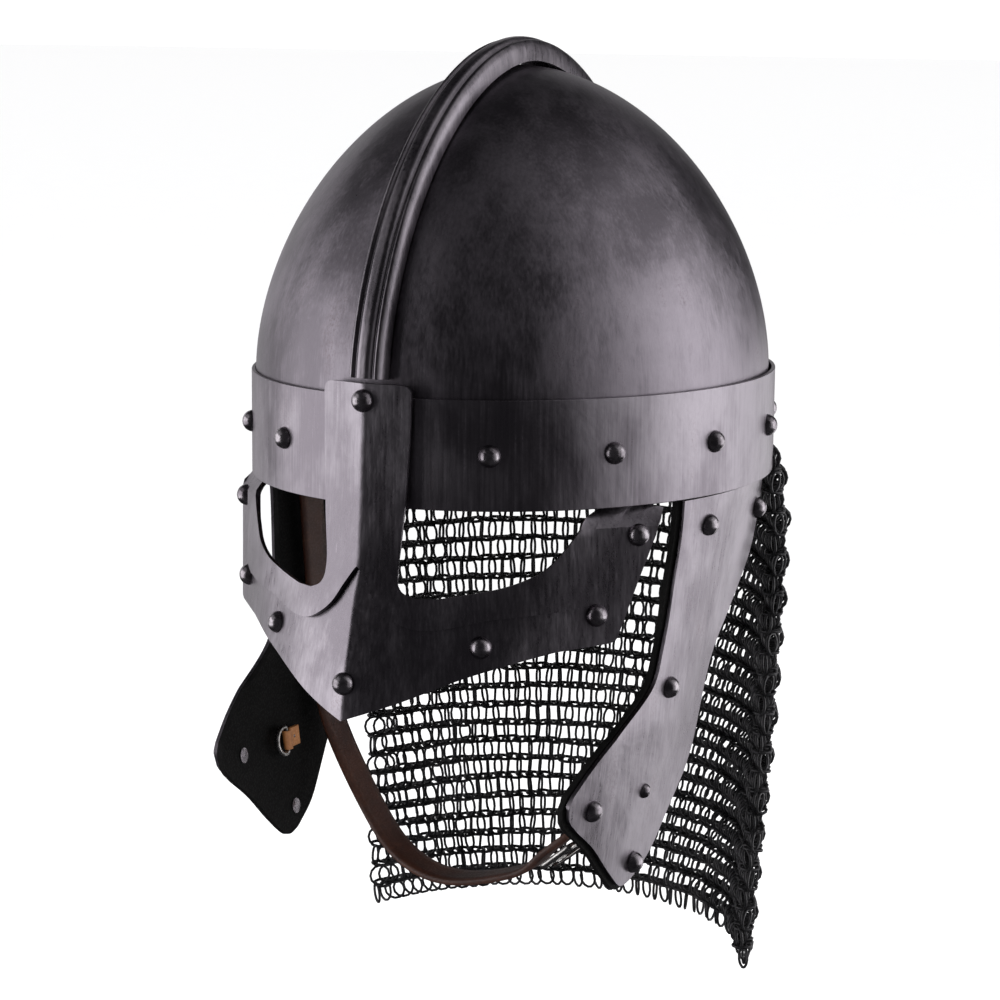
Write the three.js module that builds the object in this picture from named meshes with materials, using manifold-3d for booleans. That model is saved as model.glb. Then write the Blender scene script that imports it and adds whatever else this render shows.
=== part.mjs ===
// Riveted spectacle helmet with cheek plates, mail neck guard, leather liner and chin strap.
// Millimetres. +Z up, the face looks along -Y, the wearer's left is +X.
// The origin is the centre of the brow band, where a head sits in the liner.
import * as THREE from 'three';
import { mergeVertices } from 'three/addons/utils/BufferGeometryUtils.js';
import Module from 'manifold-3d';

const wasm = await Module();
wasm.setup();

// ---- driving dimensions ----
const SHEET = 1.6;              // face and band sheet
const SKULL_SHEET = 1.4;        // raised skull sheet
const GAP = 0.3;                // air between touching pieces
const FACE_GAP = 0.4;           // air between the two face plates
const BACKING_GAP = 0.5;        // air between a cheek plate and its leather
const BAND = { a: 105, b: 118, low: -21.2, high: 21.2 };
const SKULL = { a: 102.9, b: 114.9, shift: -1.2, foot: -6, spring: 21.2, rise: 122.6, n: 1.8, m: 1.87 };
const LINER = { a: 95.8, b: 107.5, thick: 2.2, low: -12, high: 24, rise: 106 };
const RIVET = { head: 4.4, dome: 4, shank: 1.8 };
const SMALL_RIVET = { head: 3, dome: 2.4, shank: 1.3 };
const BAND_RIVETS = 14;
const CHEEK_AXIS = { x: 102.7, z: -21.6 };
const LEATHER = 2.4;
const STRAP = { width: 16, thick: 2.6 };
const MAIL = { start: 112, top: -21.9, bottom: -237, thick: 6 };
const RING = { radius: 5.6, wire: 1.1, flat: 0.35 };

// ---- colours ----
const steel = (colour, roughness = 0.36) => ({ colour, roughness, metalness: 0.9 });
const hide = (colour, roughness = 0.75) => ({ colour, roughness, metalness: 0 });
const LOOK = {
  skull: steel(0x4a444b),
  band: steel(0x6a626c),
  face: steel(0x4c454d),
  comb: steel(0x433d44),
  rivet: steel(0x55505a, 0.28),
  mail: steel(0x17161a, 0.5),
  ring: steel(0x8a8890, 0.25),
  backing: hide(0x15120f, 0.8),
  strap: hide(0x3a1e12, 0.6),
  tan: hide(0xa8622a, 0.65),
  liner: hide(0x35241a, 0.8),
};

// ---- helpers ----
const helmet = new THREE.Group();
helmet.name = 'helmet';

function add(name, geometry, look) {
  const mesh = new THREE.Mesh(geometry, new THREE.MeshStandardMaterial({
    color: look.colour, roughness: look.roughness, metalness: look.metalness,
  }));
  mesh.name = name;
  helmet.add(mesh);
}

function welded(geometry) {
  const bare = geometry.clone();
  bare.deleteAttribute('normal');
  bare.deleteAttribute('uv');
  return mergeVertices(bare, 1e-4);
}

// Turns a closed surface right side out.
function facingOut(geometry) {
  const p = geometry.attributes.position;
  const index = geometry.index.array;
  const at = (i) => new THREE.Vector3().fromBufferAttribute(p, index[i]);
  let volume = 0;
  for (let i = 0; i < index.length; i += 3) volume += at(i).dot(at(i + 1).cross(at(i + 2)));
  if (volume > 0) return geometry;
  for (let i = 0; i < index.length; i += 3) [index[i], index[i + 1]] = [index[i + 1], index[i]];
  geometry.computeVertexNormals();
  return geometry;
}

function toSolid(geometry) {
  const bare = facingOut(welded(geometry));
  return new wasm.Manifold(new wasm.Mesh({
    numProp: 3,
    vertProperties: new Float32Array(bare.attributes.position.array),
    triVerts: new Uint32Array(bare.index.array),
  }));
}

function fromSolid(solid) {
  const mesh = solid.getMesh();
  const geometry = new THREE.BufferGeometry();
  geometry.setAttribute('position', new THREE.BufferAttribute(mesh.vertProperties, 3));
  geometry.setIndex(new THREE.BufferAttribute(mesh.triVerts, 1));
  geometry.computeVertexNormals();
  return geometry;
}

function cut(geometry, tools) {
  let solid = toSolid(geometry);
  for (const tool of tools) solid = solid.subtract(toSolid(tool));
  return fromSolid(solid);
}

function common(first, second) {
  return fromSolid(toSolid(first).intersect(toSolid(second)));
}

function join(first, second) {
  return fromSolid(toSolid(first).add(toSolid(second)));
}

function mirrored(geometry) {
  return facingOut(welded(geometry).scale(-1, 1, 1));
}

// Moves every vertex of a geometry by a rule (x, y, z) -> Vector3.
function bend(geometry, rule) {
  const bent = welded(geometry);
  const position = bent.attributes.position;
  for (let i = 0; i < position.count; i++) {
    const p = rule(position.getX(i), position.getY(i), position.getZ(i));
    position.setXYZ(i, p.x, p.y, p.z);
  }
  return facingOut(bent);
}

function smooth(low, high, value) {
  return THREE.MathUtils.smoothstep(value, Math.min(low, high), Math.max(low, high));
}

// Reads a value off a list of [position, value] pairs, position rising.
function along(table, at) {
  if (at <= table[0][0]) return table[0][1];
  for (let i = 1; i < table.length; i++) {
    const [p0, v0] = table[i - 1];
    const [p1, v1] = table[i];
    if (at <= p1) return v0 + (v1 - v0) * (at - p0) / (p1 - p0);
  }
  return table[table.length - 1][1];
}

function corners(points) {
  return points.map(([x, y]) => new THREE.Vector2(x, y));
}

function curve(points, count) {
  return new THREE.SplineCurve(corners(points)).getPoints(count);
}

function outline(points) {
  return new THREE.Shape(points);
}

// A flat outline in X and Z, run through the whole depth of the helmet along Y.
function frontPrism(points) {
  const block = new THREE.ExtrudeGeometry(outline(points), { depth: 200, bevelEnabled: false });
  block.rotateX(Math.PI / 2);
  return block;
}

// A flat outline in Y and Z, run sideways along +X.
function sidePrism(points) {
  const block = new THREE.ExtrudeGeometry(outline(points), { depth: 120, bevelEnabled: false });
  block.rotateX(Math.PI / 2);
  block.rotateZ(Math.PI / 2);
  block.translate(30, 0, 0);
  return block;
}

// A sheet over a grid in u and v, laid on a surface between two offsets along its normal.
function sheet(surface, uRange, vRange, steps, inner, outer) {
  const [u0, u1] = uRange;
  const [v0, v1] = vRange;
  const grid = new THREE.BoxGeometry(u1 - u0, v1 - v0, 1, steps[0], steps[1], 1);
  const step = 0.05;
  return bend(grid, (x, y, z) => {
    const u = x + (u0 + u1) / 2;
    const v = y + (v0 + v1) / 2;
    const p = surface(u, v);
    const du = surface(u + step, v).sub(surface(u - step, v));
    const dv = surface(u, v + step).sub(surface(u, v - step));
    const normal = du.cross(dv).normalize();
    return p.addScaledVector(normal, z > 0 ? outer : inner);
  });
}

function turned(profile, sides) {
  const lathe = new THREE.LatheGeometry(corners(profile), sides);
  lathe.rotateX(Math.PI / 2);
  return lathe;
}

// ---- surfaces ----
function skullWidth(z) {
  const up = Math.max(0, z - SKULL.spring) / SKULL.rise;
  return Math.pow(Math.max(0, 1 - Math.pow(up, SKULL.n)), 1 / SKULL.m);
}

// The ridge line of the lower face plate, as height and forward reach.
const RIDGE = [[-101, 139.1], [-93, 138], [-82.6, 136.2], [-71.3, 133.4], [-57.7, 130], [-43.5, 125.3],
  [-29.8, 123.6], [-15.3, 122.6], [0, 122], [12, 121.3], [27, 121.1]];

// Outer face of the lower face plate: a ridge with two gently rounded wings.
function faceDepth(x, z) {
  const side = Math.abs(x);
  const tabness = smooth(-60, -24, z);
  const winging = smooth(25, 60, side);
  const ridgeSlope = 0.2 - 0.13 * tabness * winging;
  const round = 0.0114 * Math.pow(side, 1.84) * (1 - tabness * (1 - winging));
  const nose = along(RIDGE, z) - ridgeSlope * side - round;
  const wing = 151.6 - 0.14 * (z + 21) - 0.965 * side;
  const tuck = 7.5 * smooth(-28, -23, z) * smooth(60, 72, side);
  return THREE.MathUtils.lerp(nose, wing, smooth(44, 66, side)) - tuck;
}

function faceSurface(x, z) {
  return new THREE.Vector3(x, -faceDepth(x, z), z);
}

// Outer face of the left cheek plate: follows the band above, nearly flat and leaning in below.
function cheekSurface(y, z) {
  const down = THREE.MathUtils.clamp((-21 - z) / 90, 0, 1);
  const round = 0.0036 + (0.00062 - 0.0036) * down;
  return new THREE.Vector3(102.3 + 0.132 * (z + 21) - round * y * y, y, z);
}

function bandSurface(offset) {
  return (degrees, z) => {
    const t = THREE.MathUtils.degToRad(degrees);
    return new THREE.Vector3((BAND.a + offset) * Math.sin(t), -(BAND.b + offset) * Math.cos(t), z);
  };
}

// ---- rivets ----
// A rivet stands at a point, its head along a direction, its shank the other way.
function place(geometry, point, direction) {
  const turn = new THREE.Quaternion().setFromUnitVectors(new THREE.Vector3(0, 0, 1), direction);
  return geometry.clone().applyQuaternion(turn).translate(point.x, point.y, point.z);
}

function rivetShape(size, length) {
  const foot = GAP / 2;
  return turned([[0, -length], [size.shank, -length], [size.shank, foot], [size.head, foot],
    [size.head * 0.92, size.dome * 0.4], [size.head * 0.64, size.dome * 0.8], [0, size.dome]], 8);
}

function rivetHole(size, length) {
  return turned([[0, -length - 1], [size.shank + GAP, -length - 1], [size.shank + GAP, 3], [0, 3]], 8);
}

const bandHoles = [];
const faceHoles = [];
const cheekHoles = [];
const tabHoles = [];

function bandRivets() {
  for (let i = 1; i < BAND_RIVETS; i++) {
    const t = 2 * Math.PI * i / BAND_RIVETS;
    const point = new THREE.Vector3(BAND.a * Math.sin(t), -BAND.b * Math.cos(t), 0);
    const direction = new THREE.Vector3(Math.sin(t) / BAND.a, -Math.cos(t) / BAND.b, 0).normalize();
    const name = 'band_rivet_' + String(i).padStart(2, '0');
    add(name, place(rivetShape(RIVET, 11), point, direction), LOOK.rivet);
    bandHoles.push(place(rivetHole(RIVET, 12), point, direction));
  }
}

function faceNormal(x, z) {
  const du = faceSurface(x + 0.1, z).sub(faceSurface(x - 0.1, z));
  const dv = faceSurface(x, z + 0.1).sub(faceSurface(x, z - 0.1));
  return du.cross(dv).normalize();
}

function faceRivets() {
  const spots = [['mask_rivet_low', 45.5, -72.5], ['mask_rivet_corner', 79, -62], ['mask_rivet_arm', 89.4, -32]];
  for (const [name, x, z] of spots) {
    for (const [side, sign] of [['left', 1], ['right', -1]]) {
      const point = faceSurface(sign * x, z);
      const direction = faceNormal(sign * x, z);
      add(name + '_' + side, place(rivetShape(RIVET, 4), point, direction), LOOK.rivet);
      faceHoles.push(place(rivetHole(RIVET, 4), point, direction));
    }
  }
  const chin = new THREE.Vector3(0, -faceDepth(0, -86.8) - 0.25, -86.8);
  const forward = new THREE.Vector3(0, -1, 0.16).normalize();
  add('mask_rivet_chin', place(rivetShape(RIVET, 4), chin, forward), LOOK.rivet);
  faceHoles.push(place(rivetHole(RIVET, 4), chin, forward));
  const brow = new THREE.Vector3(0, -faceDepth(0, 19.8) - SHEET - FACE_GAP - 0.1, 19.8);
  const ahead = new THREE.Vector3(0, -1, 0);
  add('brow_rivet', place(rivetShape(RIVET, 11), brow, ahead), LOOK.rivet);
  bandHoles.push(place(rivetHole(RIVET, 11), brow, ahead));
}

// ---- skull, comb and band ----
function skull() {
  const profile = (inset, steps) => {
    const points = [];
    const low = SKULL.foot;
    points.push([100 - inset, low]);
    for (let i = 0; i <= steps; i++) {
      const t = i / steps;
      const z = SKULL.spring + SKULL.rise * Math.sin(t * Math.PI / 2);
      const flat = i === steps ? 0 : skullWidth(z);
      const scaled = (SKULL.rise - inset) / SKULL.rise;
      points.push([flat * (100 - inset), SKULL.spring + (z - SKULL.spring) * scaled]);
    }
    return points;
  };
  const outer = profile(0, 10);
  const inner = profile(SKULL_SHEET, 7).reverse();
  const shell = turned([...inner, ...outer], 42);
  shell.scale(SKULL.a / 100, SKULL.b / 100, 1);
  shell.translate(0, SKULL.shift, 0);
  add('skull', cut(shell, bandHoles), LOOK.skull);
}

function band() {
  const ring = new THREE.Shape();
  ring.absellipse(0, 0, BAND.a, BAND.b, 0, 2 * Math.PI, false, 0);
  const inside = new THREE.Path();
  inside.absellipse(0, 0, BAND.a - SHEET, BAND.b - SHEET, 0, 2 * Math.PI, true, 0);
  ring.holes.push(inside);
  const height = BAND.high - BAND.low;
  const hoop = new THREE.ExtrudeGeometry(ring, { depth: height, bevelEnabled: false, curveSegments: 28 });
  hoop.translate(0, 0, BAND.low);
  add('brow_band', cut(hoop, bandHoles), LOOK.band);
}

// Points of the skull's centre line, from the brow over the crown to the nape.
function skullLine(t) {
  const angle = Math.PI * t;
  const high = Math.sin(angle);
  const z = SKULL.spring + SKULL.rise * high;
  const reach = SKULL.b * skullWidth(z);
  return new THREE.Vector3(0, SKULL.shift + (t < 0.5 ? -reach : reach), z);
}

// Height of the comb over the skull along its length.
const COMB_HEIGHT = [[0, 7.8], [0.1, 7.4], [0.25, 8], [0.42, 9.4], [0.55, 10], [0.8, 9.2], [1, 7]];
const COMB_LIFT = [[0, 0.5], [0.3, 0.6], [0.5, 1.6], [0.65, 2], [0.85, 0.8], [1, 0.5]];

function comb() {
  const half = [[7.6, 0], [7.3, 0.24], [6.2, 0.55], [4.8, 0.82], [3.2, 0.95], [1.2, 1]];
  const inside = [[1, 0.86], [2.8, 0.81], [3.9, 0.67], [5, 0.43], [6, 0.16], [6.3, 0]];
  const outer = [...half.map(([x, h]) => [-x, h]), ...half.slice().reverse()];
  const inner = [...inside.slice().reverse(), ...inside.map(([x, h]) => [-x, h])];
  const section = outline(corners([...outer, ...inner]));
  const strip = new THREE.ExtrudeGeometry(section, { depth: 1, steps: 28, bevelEnabled: false });
  const start = 0.0165;
  const end = 0.999;
  const line = new THREE.CatmullRomCurve3(
    Array.from({ length: 61 }, (_, i) => skullLine(start + (end - start) * i / 60)));
  const shaped = bend(strip, (x, h, t) => {
    const base = line.getPointAt(t);
    const tangent = line.getTangentAt(t);
    const up = new THREE.Vector3(0, -tangent.z, tangent.y);
    const rise = along(COMB_LIFT, t) + h * along(COMB_HEIGHT, t);
    return base.addScaledVector(up, rise).setX(x);
  });
  add('comb', shaped, LOOK.comb);
}

// ---- face plates ----
function bothHalves(half) {
  const other = half.slice().reverse().filter((p) => p.x > 0).map((p) => new THREE.Vector2(-p.x, p.y));
  return [...half, ...other];
}

function spectaclePlate() {
  const tab = corners([[0, 26.3], [14.5, 26.3]]);
  const corner = new THREE.QuadraticBezierCurve(new THREE.Vector2(15, 26.3), new THREE.Vector2(18.8, 26.3),
    new THREE.Vector2(18.7, 22)).getPoints(4);
  const nose = curve([[18.3, 4], [17, -22], [15.3, -44], [16.8, -51.6], [22.5, -54.5]], 9);
  const eye = curve([[30, -54.4], [50, -50.4], [61.5, -45], [67, -38.5], [71, -31.5],
    [73.4, -25.5]], 10);
  const arm = corners([[75.6, -19], [76.3, 6.5], [82.5, 6.5], [83.2, -14], [83.9, -22]]);
  const rim = curve([[81, -35], [77.8, -48], [75.4, -56.6], [71.4, -59.4]], 6);
  const ring = curve([[63, -60.5], [48, -62.4], [38, -64.6], [30, -66.1], [22, -65.7], [15, -62.4],
    [9, -57.4], [4.4, -50.2], [0, -43.5]], 14);
  const half = [...tab, ...corner, ...nose, ...eye, ...arm, ...rim, ...ring];
  const bent = sheet(faceSurface, [-95, 95], [-72, 32], [30, 13], FACE_GAP, FACE_GAP + SHEET);
  const plate = common(bent, frontPrism(bothHalves(half)));
  add('spectacle_plate', cut(plate, [...bandHoles, ...faceHoles]), LOOK.face);
}

function maskPlate() {
  const top = corners([[0, -34], [10.8, -34]]);
  const eye = curve([[11.2, -48], [14.5, -56.5], [24, -59.4], [38, -57.6], [52, -55], [63, -51.2],
    [71, -45], [75.2, -35], [77.6, -24]], 16);
  const arm = corners([[79, -15], [80, 6.5], [87.4, 6.5], [87.4, -20.8], [93.4, -22.6], [95, -27]]);
  const edge = corners([[94.6, -32], [90.3, -50], [85.6, -70.8], [83.6, -73]]);
  const chin = curve([[68, -75.4], [55, -79.3], [40, -84.6], [20.5, -93.3], [0, -101]], 8);
  const half = [...top, ...eye, ...arm, ...edge, ...chin];
  const bent = sheet(faceSurface, [-97, 97], [-104, 8], [30, 14], -SHEET, 0);
  const plate = common(bent, frontPrism(bothHalves(half)));
  add('mask_plate', cut(plate, [...bandHoles, ...faceHoles]), LOOK.face);
}

// ---- cheek plates ----
const CHEEK_FRONT = [[-40, -22.2], [-40, -37], [-42, -55], [-43.6, -70], [-46, -82], [-49.4, -93], [-58, -100.5],
  [-78, -111], [-92, -119.5], [-103, -128]];
const CHEEK_CORNER = [[-105.6, -132], [-104.2, -137.4]];
const CHEEK_FOOT = [[-97, -144], [-84, -153.4], [-71.5, -165]];
const CHEEK_TIP = [[-61.5, -173.4], [-56, -176.2], [-50, -175.4], [-45, -173.2]];
const CHEEK_BACK = [[-34, -166], [-23, -152], [-12.5, -139], [-8, -127], [-5.2, -103], [-1, -88], [8.5, -75],
  [17.5, -64], [28, -51.5], [33, -38], [36, -22.2]];

function cheekPoints(grow) {
  const points = corners([...CHEEK_FRONT, ...CHEEK_CORNER, ...CHEEK_FOOT, ...CHEEK_TIP, ...CHEEK_BACK]);
  const reversed = points.slice().reverse();
  if (!grow) return reversed;
  return reversed.map((p) => {
    const lead = smooth(-10, -45, p.x);
    const forward = p.x < -20 ? grow * (1 - smooth(-45, -22, p.x)) + grow * 0.6 * smooth(-60, -80, p.y) : 0;
    const low = p.y < -130 ? grow * 0.45 : 0;
    const top = p.y > -30 ? 0.4 : 0;
    return new THREE.Vector2(p.x - forward * (0.4 + 0.6 * lead), p.y - low + top);
  });
}

function cheekRivetSpots() {
  return [['top_front', -22.5, -34], ['top_back', 27, -34.5], ['middle', -38.5, -97.5], ['corner', -88.5, -137],
    ['tip', -49.8, -167.5]];
}

function cheekNormal(y, z) {
  const dy = cheekSurface(y + 0.1, z).sub(cheekSurface(y - 0.1, z));
  const dz = cheekSurface(y, z + 0.1).sub(cheekSurface(y, z - 0.1));
  return dy.cross(dz).normalize();
}

function bothSides(name, geometry, look) {
  add(name + '_left', geometry, look);
  add(name + '_right', mirrored(geometry), look);
}

function cheeks() {
  for (const [spot, y, z] of cheekRivetSpots()) {
    const point = cheekSurface(y, z);
    const direction = cheekNormal(y, z);
    bothSides('cheek_rivet_' + spot, place(rivetShape(RIVET, 4.6), point, direction), LOOK.rivet);
    cheekHoles.push(place(rivetHole(RIVET, 4.6), point, direction));
  }
  const tabPoint = cheekSurface(-49, -138);
  const tabOut = cheekNormal(-49, -138);
  bothSides('tab_rivet', place(rivetShape(SMALL_RIVET, 7.2), tabPoint, tabOut), LOOK.rivet);
  tabHoles.push(place(rivetHole(SMALL_RIVET, 7.2), tabPoint, tabOut));

  const span = [-112, 40];
  const fall = [-182, -18];
  const outer = sheet(cheekSurface, span, fall, [8, 11], -SHEET, 0);
  const steelPlate = common(outer, sidePrism(cheekPoints(0)));
  bothSides('cheek_plate', cut(steelPlate, [...cheekHoles, ...tabHoles]), LOOK.face);
  const inner = sheet(cheekSurface, span, fall, [8, 11], -SHEET - BACKING_GAP - LEATHER, -SHEET - BACKING_GAP);
  const backing = common(inner, sidePrism(cheekPoints(3.6)));
  bothSides('cheek_leather', cut(backing, [...cheekHoles, ...tabHoles]), LOOK.backing);

  const strip = sheet(bandSurface(-4.6), [68.5, 107.5], [-20.4, 9], [7, 1], -2, 0);
  bothSides('hinge_leather', cut(strip, bandHoles), LOOK.backing);
}

// A tab inside each cheek plate carries a loose ring.
function cheekRings() {
  const out = cheekNormal(-49, -138);
  const seat = cheekSurface(-49, -138).addScaledVector(out, -SHEET - LEATHER - BACKING_GAP - GAP);
  const back = new THREE.Vector3(0, 1, 0).projectOnPlane(out).normalize();
  const up = new THREE.Vector3().crossVectors(out, back);
  const basis = new THREE.Matrix4().makeBasis(back, up, out).setPosition(seat);

  const eye = RING.wire + GAP + 1.3;
  const tab = new THREE.Shape();
  tab.moveTo(4.4, 0);
  tab.lineTo(4.4, -2);
  tab.lineTo(-4.5, -2);
  tab.absarc(-7.4, -eye, eye, 0.9, 2 * Math.PI - 0.35, false);
  tab.lineTo(-4.5, 0);
  const flat = new THREE.Shape(corners([[4.4, 0], [-7.4, 0], [-7.4, -2], [4.4, -2]]));
  const strip = new THREE.ExtrudeGeometry(flat, { depth: 8, bevelEnabled: false });
  const barrel = new THREE.CylinderGeometry(eye, eye, 8, 14);
  barrel.rotateX(Math.PI / 2);
  barrel.translate(-7.4, -eye, 4);
  const bore = new THREE.CylinderGeometry(RING.wire + GAP, RING.wire + GAP, 12, 14);
  bore.rotateX(Math.PI / 2);
  bore.translate(-7.4, -eye, 4);
  const folded = cut(join(strip, barrel), [bore]);
  folded.translate(0, 0, -4);
  const turnedTab = bend(folded, (x, y, z) => new THREE.Vector3(x, z, y).applyMatrix4(basis));
  bothSides('ring_tab', cut(turnedTab, tabHoles), LOOK.tan);

  const loop = new THREE.TorusGeometry(RING.radius, RING.wire, 6, 18);
  const shaped = bend(loop, (x, y, z) => {
    const angle = Math.atan2(y, x);
    const spine = RING.radius * Math.cos(angle);
    const pressed = Math.min(spine, RING.radius * RING.flat);
    return new THREE.Vector3(x - spine + pressed, y, z);
  });
  const reach = RING.radius * RING.flat;
  shaped.translate(-7.4 - reach, 0, -eye);
  shaped.applyMatrix4(basis);
  bothSides('ring', shaped, LOOK.ring);
}

// ---- liner and chin strap ----
function liner() {
  const profile = (inset, steps) => {
    const points = [[100 - inset, LINER.low]];
    for (let i = 0; i <= steps; i++) {
      const t = i / steps * 0.86;
      const high = Math.sin(t * Math.PI / 2);
      const wide = Math.cos(t * Math.PI / 2);
      points.push([(100 - inset) * Math.pow(wide, 0.95), LINER.high + (LINER.rise - inset - LINER.high) * high]);
    }
    return points;
  };
  const thick = LINER.thick * 100 / LINER.a;
  const outer = profile(0, 5);
  const inner = profile(thick, 5);
  const shell = turned([...outer, ...inner.reverse(), outer[0]], 30);
  shell.scale(LINER.a / 100, LINER.b / 100, 1);
  shell.translate(0, SKULL.shift, 0);
  const gaps = [];
  for (let i = 0; i < 8; i++) {
    const wedge = new THREE.Shape(corners([[10, 0], [110, -7.5], [110, 7.5]]));
    const block = new THREE.ExtrudeGeometry(wedge, { depth: 90, bevelEnabled: false });
    block.translate(0, 0, LINER.high + 4);
    block.rotateZ(Math.PI / 4 + i * Math.PI / 4);
    gaps.push(block);
  }
  const seats = [-1, 1].map((side) => {
    const hole = rivetHole(SMALL_RIVET, 11);
    return place(hole, new THREE.Vector3(side * 97, -20, -6), new THREE.Vector3(side, 0, 0));
  });
  const whole = cut(shell, [...bandHoles, ...gaps, ...seats]);
  ['left', 'back', 'right', 'front'].forEach((side, i) => {
    const quarter = new THREE.Shape(corners([[0.5, 0], [150.5, -150], [150.5, 150]]));
    const sector = new THREE.ExtrudeGeometry(quarter, { depth: 130, bevelEnabled: false });
    sector.translate(0, 0, LINER.low - 5);
    sector.rotateZ(i * Math.PI / 2);
    add('liner_' + side, common(whole, sector), LOOK.liner);
  });
}

function crownPad() {
  const pad = turned([[0, 86], [24, 86], [26, 88], [26, 93], [22, 95.5], [0, 96.5]], 28);
  pad.translate(0, SKULL.shift, 0);
  add('crown_pad', pad, LOOK.liner);
}

// A flat strip whose width lies along Y, run along a line of points.
function strap(points, width, thick, steps) {
  const line = new THREE.CatmullRomCurve3(points.map(([x, y, z]) => new THREE.Vector3(x, y, z)));
  const bar = new THREE.BoxGeometry(1, width, thick, steps, 1, 1);
  return bend(bar, (x, y, z) => {
    const t = THREE.MathUtils.clamp(x + 0.5, 0, 1);
    const p = line.getPointAt(t);
    const tangent = line.getTangentAt(t).setY(0).normalize();
    const side = new THREE.Vector3(0, 1, 0);
    const face = new THREE.Vector3().crossVectors(tangent, side);
    return p.addScaledVector(side, y).addScaledVector(face, z);
  });
}

const BUCKLE = new THREE.Vector3(42, -35.5, -168.5);
const BUCKLE_LEAN = 0.69;

function buckleFrame(x, y, z) {
  // x runs along the strap towards the wearer's left ear, y along its width, z away from the chin.
  const c = Math.cos(BUCKLE_LEAN);
  const s = Math.sin(BUCKLE_LEAN);
  return new THREE.Vector3(BUCKLE.x + x * c + z * s, BUCKLE.y + y, BUCKLE.z + x * s - z * c);
}

function chinStrap() {
  const start = buckleFrame(-24, 0, 0);
  const end = buckleFrame(14, 0, 0);
  const long = strap([[-88.2, -20, -1], [-88, -20, -30], [-85.4, -20, -66], [-81, -22, -102], [-74.5, -25, -131],
    [-53, -30, -164.5], [-33, -33, -185.5], [-8, -35.5, -191.5], start.toArray(), buckleFrame(-6, 0, 0).toArray(),
    end.toArray()], STRAP.width, STRAP.thick, 44);
  const seat = (side) => place(rivetHole(SMALL_RIVET, 11), new THREE.Vector3(side * 97, -20, -6),
    new THREE.Vector3(side, 0, 0));
  add('chin_strap_long', cut(long, [seat(-1)]), LOOK.strap);
  const short = strap([[88.2, -20, -1], [88, -21, -30], [85.4, -25, -66], [81, -30, -96], [73.5, -33.5, -132],
    buckleFrame(18.5, 0, 4).toArray(), buckleFrame(11.6, 0, 4.2).toArray()], STRAP.width, STRAP.thick, 30);
  add('chin_strap_short', cut(short, [seat(1)]), LOOK.strap);
  for (const [name, side] of [['left', 1], ['right', -1]]) {
    const point = new THREE.Vector3(side * (88.2 - STRAP.thick / 2), -20, -6);
    const inward = new THREE.Vector3(-side, 0, 0);
    add('strap_rivet_' + name, place(rivetShape(SMALL_RIVET, 8), point, inward), LOOK.rivet);
  }
}

function buckle() {
  const frame = new THREE.Shape(corners([[-9, -11.5], [9, -11.5], [9, 11.5], [-9, 11.5]]));
  frame.holes.push(new THREE.Path(corners([[-6.4, -9], [-6.4, 9], [6.2, 9], [6.2, -9]])));
  const plate = new THREE.ExtrudeGeometry(frame, { depth: 2.6, bevelEnabled: false });
  plate.translate(0, 0, 3.2);
  add('buckle_frame', bend(plate, buckleFrame), LOOK.ring);
  const round = (radius, width) => new THREE.CylinderGeometry(radius, radius, width, 14).translate(7.6, 0, 4.5);
  const pin = new THREE.BoxGeometry(17, 2.6, 1.5).translate(-0.9, 0, 6.75);
  const tongue = cut(join(round(3, 2.6), pin), [round(2, 4)]);
  add('buckle_tongue', bend(tongue, buckleFrame), LOOK.ring);
}

// ---- mail ----
const MAIL_SWELL = [[-240, -9], [-150, -2.4], [-80, 2], [-45, 2], [-30, 0.4], [-21, -0.8]];

function mail() {
  const surface = (degrees, z) => bandSurface(along(MAIL_SWELL, z))(degrees, z);
  const half = MAIL.thick / 2;
  const curtain = sheet(surface, [MAIL.start, 360 - MAIL.start], [MAIL.bottom, MAIL.top], [24, 6], -half, half);
  add('mail_curtain', curtain, LOOK.mail);
}

bandRivets();
faceRivets();
skull();
band();
comb();
spectaclePlate();
maskPlate();
cheeks();
cheekRings();
liner();
crownPad();
chinStrap();
buckle();
mail();

export default helmet;
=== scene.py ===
import math
import random

import bmesh
import bpy
from mathutils import Matrix, Vector


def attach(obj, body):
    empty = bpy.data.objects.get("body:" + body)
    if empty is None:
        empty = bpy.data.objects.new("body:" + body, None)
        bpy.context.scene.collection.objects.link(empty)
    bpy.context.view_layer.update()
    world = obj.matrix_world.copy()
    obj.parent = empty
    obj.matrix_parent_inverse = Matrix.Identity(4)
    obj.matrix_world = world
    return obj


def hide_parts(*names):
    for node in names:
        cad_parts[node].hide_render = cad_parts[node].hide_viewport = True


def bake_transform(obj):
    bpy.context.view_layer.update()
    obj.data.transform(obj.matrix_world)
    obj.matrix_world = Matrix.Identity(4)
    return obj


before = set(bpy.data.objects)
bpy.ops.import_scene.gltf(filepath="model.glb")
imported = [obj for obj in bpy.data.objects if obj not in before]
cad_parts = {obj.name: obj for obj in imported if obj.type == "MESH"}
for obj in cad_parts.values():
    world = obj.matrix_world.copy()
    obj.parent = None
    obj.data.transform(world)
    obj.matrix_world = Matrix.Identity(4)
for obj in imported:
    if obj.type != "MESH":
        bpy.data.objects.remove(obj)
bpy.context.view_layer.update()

MM = 0.001
SHEET = 1.6
SKULL_SHEET = 1.4
GAP = 0.3
FACE_GAP = 0.4
BACKING_GAP = 0.5
LEATHER = 2.4

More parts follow.
